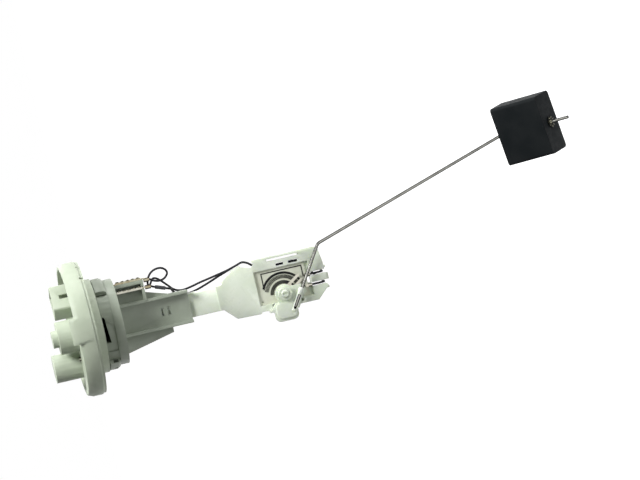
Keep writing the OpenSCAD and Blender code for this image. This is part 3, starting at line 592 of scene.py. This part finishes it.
class SENDER_OT_metals(bpy.types.Operator):
    """Finishes the wire, push nut, terminals, pins and wiper"""
    bl_idname = "sender.metals"
    bl_label = "Metal pieces"

    def execute(self, context):
        scene = context.scene
        look = scene.sender_metals
        steel = metal("drawn_steel", look.steel, look.steel_deep, 0.5, 0.16, 0.28)
        brass = metal("tinned_brass", look.brass, look.brass_deep, 0.8, 0.20, 0.45)
        nickel = metal("nickel_silver", look.nickel, look.nickel_deep, 0.6, 0.22, 0.40)
        spring = metal("spring_steel", look.spring, look.spring_deep, 0.8, 0.25, 0.45)
        softened("float_wire", steel, 0.1 * MM)
        for node, material in (("push_nut", spring), ("wiper", nickel), ("card_tab_a", nickel), ("card_tab_b", nickel),
                               ("pin_a", brass), ("pin_b", brass), ("terminal_a", brass), ("terminal_b", brass)):
            paint(node, material)
        tree = repeat_tree()
        step = (0, 0, -look.notch_pitch)
        for name, x, y, bright, dark in (("a", 0.0245, -0.0084, brass, spring), ("b", 0.0181, -0.0089, nickel, spring)):
            lip = link("lip_" + name, block((x, y, -0.040), (x + 0.0016, y + 0.0008, -0.022)), bright)
            notches = repeated("notches_" + name, block((x + 0.0013, y - 0.0002, -0.0246), (x + 0.0021, y + 0.0007, -0.0226)),
                               tree, {"Count": 5, "Step": step, "Turn": 0.0, "Material": dark})
            for piece in (lip, notches):
                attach(piece, body_of("terminal_" + name))
        valve = tube("vent_valve", [(-0.0195, -0.008, 0.0115), (-0.0195, -0.008, 0.0134)], tube_tree(),
                     {"Steps": 2, "Sides": 24, "Radius": 0.0015, "Material": nickel})
        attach(valve, body_of("flange_cap"))
        ridges = repeated("nut_ridges", block((0.0022, -0.00035, 0.0003), (0.0038, 0.00035, 0.0010)), tree,
                          {"Count": look.teeth, "Step": (0, 0, 0), "Turn": math.tau / look.teeth, "Material": spring})
        ridges.data.transform(Matrix.Translation(ELBOW + ALONG_FLOAT * NUT_DOWN) @
                              ALONG_FLOAT.to_track_quat("Z", "Y").to_matrix().to_4x4())
        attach(ridges, body_of("push_nut"))
        return {"FINISHED"}


class SENDER_OT_float(bpy.types.Operator):
    """Makes the foam float"""
    bl_idname = "sender.float"
    bl_label = "Float"

    def execute(self, context):
        scene = context.scene
        look = scene.sender_float
        foam = plastic("float_foam", look.foam, look.foam_light, 0.5, 0.7, shine=0.05)
        softened("float_block", foam, look.edge, 4)
        return {"FINISHED"}


class SENDER_OT_leads(bpy.types.Operator):
    """Finishes the two leads and the sleeve"""
    bl_idname = "sender.leads"
    bl_label = "Leads"

    def execute(self, context):
        scene = context.scene
        look = scene.sender_leads
        black = plastic("lead_insulation", look.insulation, look.dusty, 0.35, 0.48, shine=0.12)
        tree = tube_tree()
        for node, points in (("lead_a", LEAD_A), ("lead_b", LEAD_B)):
            piece = tube(node + "_tube", points, tree, {"Steps": 6, "Sides": look.sides, "Radius": look.diameter / 2,
                                                        "Material": black})
            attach(piece, body_of(node))
            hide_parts(node)
        softened("lead_sleeve", plastic("sleeve_plastic", look.sleeve_colour, look.insulation, 0.4, 0.6),
                 0.1 * MM)
        return {"FINISHED"}


# Stage

def look_at(place, target):
    return (target - place).to_track_quat("-Z", "Y").to_matrix().to_4x4()


def lamp(name, place, target, size, power):
    data = bpy.data.lights.new(name, "AREA")
    data.shape = "DISK"
    data.size = size
    data.energy = power
    made = bpy.data.objects.new(name, data)
    made.matrix_world = Matrix.Translation(place) @ look_at(place, target)
    bpy.context.scene.collection.objects.link(made)


def seen(tree):
    """One where the camera, a reflection or clear plastic sees the surface."""
    path = add(tree, "ShaderNodeLightPath").outputs
    either = add(tree, "ShaderNodeMath", {0: path["Is Camera Ray"], 1: path["Is Glossy Ray"]}, operation="MAXIMUM")
    return add(tree, "ShaderNodeMath", {0: either.outputs[0], 1: path["Is Transmission Ray"]}, operation="MAXIMUM"
               ).outputs[0]


class SENDER_OT_stage(bpy.types.Operator):
    """Sets up the camera, lamps, floor and background"""
    bl_idname = "sender.stage"
    bl_label = "Stage"

    def execute(self, context):
        scene = context.scene
        look = scene.sender_stage
        aim = Vector(look.aim)
        view, right, up = Vector((0, 1, 0)), Vector((0, 0, -1)), Vector((1, 0, 0))
        for axis, angle in ((up, -look.turn), (right, look.tilt)):
            turned = Matrix.Rotation(math.radians(angle), 3, axis)
            view, right, up = turned @ view, turned @ right, turned @ up
        lean = Matrix.Rotation(math.radians(look.roll), 3, view)
        right, up = lean @ right, lean @ up
        data = bpy.data.cameras.new("camera")
        data.lens = look.lens
        data.sensor_width = 36
        data.clip_end = 50
        camera = bpy.data.objects.new("camera", data)
        place = aim - view * look.distance
        camera.matrix_world = Matrix.Translation(place) @ Matrix((right, up, -view)).transposed().to_4x4()
        scene.collection.objects.link(camera)
        scene.camera = camera
        middle = Vector((0.03, 0, -0.17))
        lamp("key", middle + Vector((0.9, -0.8, 1.45)), middle, 0.8, look.key)
        lamp("side", middle + Vector((1.7, -0.1, 0.3)), middle, 0.8, look.side)
        lamp("back", middle + Vector((0.6, 1.4, 0.8)), middle, 1.2, look.back)
        world = bpy.data.worlds.new("room")
        world.use_nodes = True
        scene.world = world
        tree = world.node_tree
        tree.nodes.clear()
        room = add(tree, "ShaderNodeBackground", {"Color": (1, 1, 1, 1), "Strength": look.world})
        white = add(tree, "ShaderNodeBackground", {"Color": (1, 1, 1, 1), "Strength": 1.0})
        both = add(tree, "ShaderNodeMixShader", {0: seen(tree), 1: room.outputs[0], 2: white.outputs[0]})
        out = add(tree, "ShaderNodeOutputWorld")
        tree.links.new(both.outputs[0], out.inputs["Surface"])
        self.floor(scene, look)
        scene.view_settings.view_transform = "Standard"
        return {"FINISHED"}

    def floor(self, scene, look):
        material = bpy.data.materials.new("floor_white")
        material.use_nodes = True
        tree = material.node_tree
        tree.nodes.clear()
        board = add(tree, "ShaderNodeBsdfPrincipled", {"Base Color": rgba(look.floor_colour), "Roughness": 0.8})
        glow = add(tree, "ShaderNodeMath", {0: seen(tree), 1: look.floor_glow}, operation="MULTIPLY").outputs[0]
        white = add(tree, "ShaderNodeEmission", {"Color": (1, 1, 1, 1), "Strength": glow})
        both = add(tree, "ShaderNodeAddShader", {0: board.outputs[0], 1: white.outputs[0]})
        out = add(tree, "ShaderNodeOutputMaterial")
        tree.links.new(both.outputs[0], out.inputs["Surface"])
        low = CAD_BOX[0][2] - look.drop
        mesh = bpy.data.meshes.new("floor")
        half = 6.0
        mesh.from_pydata([(-half, -half, low), (half, -half, low), (half, half, low), (-half, half, low)], [],
                         [(0, 1, 2, 3)])
        link("floor", mesh, material)


class SENDER_PT_panel(bpy.types.Panel):
    """Lists the sender's pieces"""
    bl_idname = "SENDER_PT_panel"
    bl_label = "Fuel level sender"
    bl_space_type = "VIEW_3D"
    bl_region_type = "UI"
    bl_category = "Sender"

    def draw(self, context):
        for operator in OPERATORS:
            self.layout.operator(operator.bl_idname)


GROUPS = {"plastics": SENDER_PG_plastics, "card": SENDER_PG_card, "metals": SENDER_PG_metals,
          "float": SENDER_PG_float, "leads": SENDER_PG_leads, "stage": SENDER_PG_stage}
OPERATORS = (SENDER_OT_stage, SENDER_OT_cap, SENDER_OT_carrier, SENDER_OT_bracket, SENDER_OT_card,
             SENDER_OT_metals, SENDER_OT_float, SENDER_OT_leads)


def register():
    for kind in (*GROUPS.values(), *OPERATORS, SENDER_PT_panel):
        bpy.utils.register_class(kind)
    for name, kind in GROUPS.items():
        setattr(bpy.types.Scene, "sender_" + name, PointerProperty(type=kind))


def unregister():
    for name in GROUPS:
        delattr(bpy.types.Scene, "sender_" + name)
    for kind in (SENDER_PT_panel, *reversed(OPERATORS), *reversed(GROUPS.values())):
        bpy.utils.unregister_class(kind)


def main():
    register()
    for operator in OPERATORS:
        group, name = operator.bl_idname.split(".")
        getattr(getattr(bpy.ops, group), name)()


if __name__ == "__main__":
    main()
